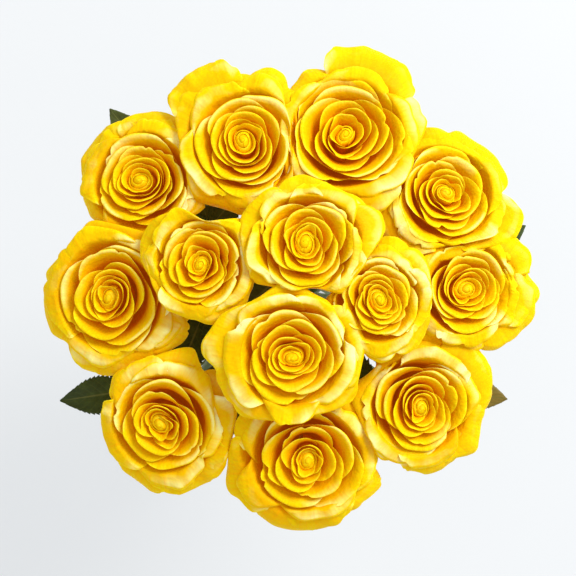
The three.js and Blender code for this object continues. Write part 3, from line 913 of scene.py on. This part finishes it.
def add_thorn(builder, middle, forward, out, radius, rng):
    """A flat-sided thorn that hooks a little towards the foot."""
    size = THORN_LENGTH * rng.uniform(0.7, 1.1)
    u = np.linspace(0, 1, 7)
    spine = middle + np.outer(radius * 0.8 + u * size, out) - np.outer(1.8 * u * u, forward)
    widths = lerp(1.5, 0.12, u ** 0.7)
    marks = np.stack([0.35 + 0.6 * u, 0 * u, 0 * u], -1)
    verts, faces, marks = tube(spine, widths, 8, marks)
    builder.add(verts, faces, marks)


# ---- calyces

FRINGE = 5  # little lobes along each side of a sepal
STEM_RADIUS = 3.0
HIP_RADIUS = 6.5
HIP_SWELLING = [(0.78, 0.8), (0.95, 0.5), (0.92, 0.28), (0.74, 0.1)]  # shares of its radius and depth
HIP_STEPS = 22
SEPAL_STEPS = 46
SEPAL_WIDTH = 8.0
SEPAL_GAP = 0.6  # radians round the hip that part one sepal from the next


def make_calyx(name, seed):
    """The hip under a bloom and its five sepals: lance-shaped, fringed, arching to thread-like tips."""
    rng = np.random.default_rng(seed)
    own = FRAMES[name]
    side, up, axis = own["side"], own["up"], own["axis"]
    local = (corners(f"calyx_{name}") - own["seat"]) @ np.stack([side, up, axis], 1)
    out = np.linalg.norm(local[:, :2], axis=1)
    depth = (own["seat"] - own["neck"]) @ axis
    builder = Builder()
    swelling = [(HIP_RADIUS * girth, -depth * low) for girth, low in HIP_SWELLING]
    profile = smooth_curve([(STEM_RADIUS * 0.98, -depth), *swelling, (HIP_RADIUS * 0.8, -0.2)], HIP_STEPS)

    def ribbed(angle, k):
        return 1 + 0.035 * np.cos(5 * angle) * math.sin(math.pi * k / HIP_STEPS)

    spine = own["seat"] + np.outer(profile[:, 1], axis)
    verts, faces, marks = tube(spine, profile[:, 0], 24, np.zeros((HIP_STEPS, 3)), ribbed)
    builder.add(verts, faces, marks)
    angles = np.arctan2(local[:, 1], local[:, 0])
    far = np.flatnonzero(out > HIP_RADIUS * 1.25)
    while len(far):
        tip = far[out[far].argmax()]
        add_sepal(builder, own["seat"], (side, up, axis), angles[tip], out[tip], local[tip, 2], depth, rng)
        far = far[apart(angles[far], angles[tip]) > SEPAL_GAP]
    builder.finish(f"rose_calyx_{name}", SEPAL, f"calyx_{name}")


def add_sepal(builder, seat, axes, angle, reach, tip_height, depth, rng):
    """One sepal, from under the hip's rim out to the CAD sepal's tip."""
    side, up, axis = axes
    direction = math.cos(angle) * side + math.sin(angle) * up
    sideways = np.cross(axis, direction)
    spine = smooth_curve([
        (HIP_RADIUS * 0.7, -depth * 0.22), (reach * 0.35, -depth * 0.22 + 0.4),
        (reach * 0.7, lerp(-depth * 0.3, tip_height, 0.4)), (reach, tip_height + rng.uniform(-1.5, 1.0)),
    ], SEPAL_STEPS)
    u = np.linspace(0, 1, SEPAL_STEPS)
    s = np.linspace(-1, 1, 9)[None, :]
    half = SEPAL_WIDTH / 2 * np.interp(u, (0, 0.12, 0.35, 0.6, 0.8, 1), (0.62, 0.85, 1.0, 0.62, 0.2, 0.06))
    lobes = np.maximum(np.sin(u * FRINGE * TURN + rng.uniform(0, 1)), 0) ** 3
    fringe = lobes * np.interp(u, (0.1, 0.3, 0.8, 1), (0, 1, 0.7, 0)) * 1.7
    across = half[:, None] * s + np.abs(s) ** 4 * fringe[:, None] * np.sign(s)
    lift = -0.16 * across ** 2 / 4 + 0.35 * np.sin(u * 9 + rng.uniform(0, 6))[:, None] * s ** 2
    bend = rng.uniform(-2.0, 2.0) * u ** 2
    points = (seat + spine[:, 0, None, None] * direction + (across + bend[:, None])[..., None] * sideways
              + (spine[:, 1][:, None] + lift)[..., None] * axis)
    marks = np.stack([u[:, None] + 0 * across, 0 * across, 0 * across], -1)
    builder.shell(points, lerp(0.9, 0.35, u)[:, None] * np.ones_like(across), marks)
    inside = builder.marks[-1]
    inside[: len(inside) // 2, 2] = 1.0


# ---- leaves

LEAF_NODES = sorted(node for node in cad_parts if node.startswith("leaf_"))
LEAFLET_LENGTH, LEAFLET_WIDTH = 42, 25
LEAF_THICKNESS = 0.45
PAIR_SHARES = (0.86, 0.42)  # where the side leaflets leave the stalk
PAIR_SIZES = (0.84, 0.68)  # their size, beside the end leaflet
SIDE_ANGLE = math.radians(62)
SINGLE_REACH, FULL_REACH = 56.0, 82.0  # root to tip of a leaf of one leaflet, and of a full leaf
TEETH = 15
DRY_LEAVES = {"leaf_02": 0.8}  # how far a leaf has turned olive-brown
LEAVES_UNDER_GAPS = [f"leaf_{n}" for n in range(14, 20)]
BROADER = 1.32  # their leaflets' width, beside the others'
STALK_RING = 2.4  # mm within which the corners of a stalk's end lie
FEW_CORNERS, MORE_CORNERS = 60, 130  # fewer than these: a leaf of one leaflet, and of three
STEM_PATHS = np.concatenate([smooth_curve(stem_rings(f"stem_{name}"), 160) for name in ROSES])


def leaf_frame(node):
    """Root, axes, scale and number of leaflets of a CAD leaf, from its stalk's end ring and its reach."""
    pts = corners(node)
    gaps = np.array([np.linalg.norm(STEM_PATHS - p, axis=1).min() for p in pts])
    first = pts[gaps.argmin()]
    ring = pts[np.linalg.norm(pts - first, axis=1) < STALK_RING]
    root = ring.mean(0)
    forward = np.linalg.svd(ring - root)[2][2]
    forward = forward * np.sign((pts.mean(0) - root) @ forward)
    side = unit(np.cross((0, 0, 1), forward))
    reach = ((pts - root) @ forward).max()
    leaflets = 1 if len(pts) < FEW_CORNERS else 3 if len(pts) < MORE_CORNERS else 5
    size = reach / (SINGLE_REACH if leaflets == 1 else FULL_REACH)
    return root, np.stack([forward, side, np.cross(forward, side)]), size, leaflets


def leaflet_points(rng, length, width):
    """One serrated leaflet along +X: pointed, folded along its midrib, quilted between its side veins."""
    rows, columns = TEETH * 4 + 1, 13
    u = np.linspace(0, 1, rows)
    outline = smooth_curve([(0, 0.02), (0.1, 0.25), (0.32, 0.48), (0.58, 0.45), (0.82, 0.23), (1, 0)], 200)
    half = np.interp(u, outline[:, 0], outline[:, 1]) * width
    tooth = (u * TEETH) % 1
    bite = 1 - 0.13 * tooth * np.minimum(1, 6 * (1 - u))
    v = np.linspace(-1, 1, columns)
    edge = np.abs(v) ** 6
    y = half[:, None] * v[None, :] * (1 - edge[None, :] * (1 - bite)[:, None])
    x = (u * length)[:, None] + edge[None, :] * (tooth * 0.6)[:, None] + 0.06 * np.abs(y)
    droop = rng.uniform(0.10, 0.18)
    cupping = rng.uniform(0.10, 0.30)
    ridge = np.cos((u[:, None] - VEIN_SLANT * np.abs(v)[None, :]) * SIDE_VEINS * TURN)
    z = (-droop * x ** 2 / length + cupping * np.abs(y) - 0.25 * ridge * np.sin(math.pi * np.abs(v))[None, :]
         + rng.uniform(0.4, 1.2) * np.sin(u * 7 + rng.uniform(0, 6))[:, None] * v[None, :] ** 2)
    twist = rng.uniform(-0.25, 0.25) * u[:, None]
    y, z = y * np.cos(twist), z + y * np.sin(twist)
    marks = np.stack([np.broadcast_to(v, x.shape), np.broadcast_to(u[:, None], x.shape), 0 * x], -1)
    return np.stack([x, y, z], -1), marks


def make_leaf(node, seed):
    """A leaf: its end leaflet, the pairs beside the stalk, and the stalk."""
    rng = np.random.default_rng(seed)
    root, axes, size, leaflets = leaf_frame(node)
    broad = BROADER if node in LEAVES_UNDER_GAPS else 1.0
    stalk = ((SINGLE_REACH if leaflets == 1 else FULL_REACH) - LEAFLET_LENGTH) * size
    shade = DRY_LEAVES.get(node, rng.uniform(0.0, 0.3))
    builder = Builder()

    def blade(at, turn, scale):
        points, marks = leaflet_points(rng, LEAFLET_LENGTH * size * scale * broad ** 0.7,
                                       LEAFLET_WIDTH * size * scale * broad)
        c, s = math.cos(turn), math.sin(turn)
        x, y, z = points[..., 0], points[..., 1], points[..., 2]
        turned = np.stack([c * x - s * y + at, s * x + c * y, z], -1)
        marks[..., 2] = max(0, shade + rng.uniform(-0.1, 0.1))
        builder.shell(root + turned @ axes, LEAF_THICKNESS * np.ones_like(x), marks)

    blade(stalk, 0.0, 1.0)
    for pair in range((leaflets - 1) // 2):
        for turn in (-SIDE_ANGLE, SIDE_ANGLE):
            blade(stalk * PAIR_SHARES[pair], turn + rng.uniform(-0.06, 0.06), PAIR_SIZES[pair])
    t = np.linspace(0, 1, 24)
    line = np.stack([t * (stalk + 2), 0 * t, -0.4 * np.sin(t * math.pi)], -1)
    radii = lerp(1.1, 0.6, t) + 0.28 * np.exp(-(t * stalk / 2.5) ** 2)
    marks = np.stack([0 * t, t, shade + 0.45 + 0 * t], -1)
    builder.add(*tube(root + line @ axes, radii, 10, marks))
    builder.finish(f"rose_{node}", LEAF, node)


# ---- tie

TWINE_WIDTH = 3.0
TWINE_SIDES = 12
PLY_TURN = 9.0  # mm of cord for one turn of its two plies
TIE_MIDDLE = np.array(BUNCH_MIDDLE) / MM
LEVEL_BAND = 1.6  # mm of height that a level of the tie takes its corners from
KNOT_SIZE = 2.6


def twine(builder, path, width, shade):
    """A two-ply twisted cord along a path."""
    step = np.concatenate([[0], np.cumsum(np.linalg.norm(np.diff(path, axis=0), axis=1))])
    marks = np.stack([0 * step, step * MM, shade + 0 * step], -1)
    phase = step / PLY_TURN * TURN

    def plies(angle, k):
        return 0.80 + 0.20 * np.abs(np.cos(angle - phase[k] / 2)) ** 0.7

    verts, faces, marks = tube(path, width / 2, TWINE_SIDES, marks, plies)
    around = np.tile(np.arange(TWINE_SIDES) / TWINE_SIDES, len(path))
    marks[:, 0] = around + np.repeat(phase / TURN, TWINE_SIDES)
    builder.add(verts, faces, marks)


def make_tie():
    """Twine wound round the stems' waist, following the CAD tie's hourglass."""
    pts = corners("tie")
    middle = TIE_MIDDLE * (1, 1, 0)
    out = np.linalg.norm((pts - middle)[:, :2], axis=1)
    low, high = pts[:, 2].min(), pts[:, 2].max()
    levels, surface = [], []
    for level in np.linspace(low, high, 9):
        band = np.abs(pts[:, 2] - level) < LEVEL_BAND
        if band.any():
            levels.append(level)
            surface.append(out[band].max())
    turns = (high - low) / (TWINE_WIDTH * 0.98)
    angle = np.linspace(0, turns * TURN - TURN * 0.9, int(turns * 110))
    z = lerp(low + TWINE_WIDTH / 2, high - TWINE_WIDTH / 2, angle / angle[-1])
    radius = np.interp(z, levels, surface) - TWINE_WIDTH * 0.45
    path = middle + np.stack([radius * np.cos(angle), radius * np.sin(angle), z], -1)
    builder = Builder()
    twine(builder, path, TWINE_WIDTH, 0.1)
    builder.finish("twine_windings", TWINE, "tie")


def make_knot():
    """The knot: a crossed double loop with its two short ends."""
    pts = corners("tie_knot")
    out = unit(((pts.min(0) + pts.max(0)) / 2 - TIE_MIDDLE) * (1, 1, 0))
    side = np.cross((0, 0, 1), out)
    axes = np.stack([out, side, (0, 0, 1)])
    local = (pts - TIE_MIDDLE) @ axes.T
    ball = np.array([local[:, 0].min() + 4.2, 0, 0])
    builder = Builder()
    t = np.linspace(0, TURN, 150)
    loop = np.stack([0.55 * np.sin(3 * t), 1.05 * (np.sin(t) + 1.1 * np.sin(2 * t)) / 1.5,
                     1.15 * (np.cos(t) - 1.1 * np.cos(2 * t)) / 1.7], -1) * KNOT_SIZE + ball
    twine(builder, TIE_MIDDLE + loop @ axes, TWINE_WIDTH * 0.85, 0.15)
    for way in (-1, 1):
        far = local[local[:, 1] * way > 0]
        low = far[far[:, 2].argmin()]
        corner_out = far[:, 0].max() - 1.5
        tail = smooth_curve([ball + (0.5, way * 1.0, 0), ball + (2.5, way * 5.5, -0.6),
                             (lerp(ball[0], corner_out, 0.75), lerp(0, low[1], 0.85), low[2] * 0.45),
                             (corner_out, low[1], low[2] + 1.5)], 70)
        twine(builder, TIE_MIDDLE + tail @ axes, TWINE_WIDTH * 0.8, 0.2)
    builder.finish("twine_knot", TWINE, "tie_knot")


for number, name in enumerate(ROSES):
    make_stem(name, 200 + number)
    make_calyx(name, 300 + number)
for number, node in enumerate(LEAF_NODES):
    make_leaf(node, 400 + number)
make_tie()
make_knot()


# ---- floor

floor_mesh = bpy.data.meshes.new("floor")
floor_corners = [(x * FLOOR_REACH, y * FLOOR_REACH, 0) for x, y in ((-1, -1), (1, -1), (1, 1), (-1, 1))]
floor_mesh.from_pydata(floor_corners, [], [(0, 1, 2, 3)])
floor_mesh.materials.append(floor_material())
floor = bpy.data.objects.new("floor", floor_mesh)
SCENE.collection.objects.link(floor)
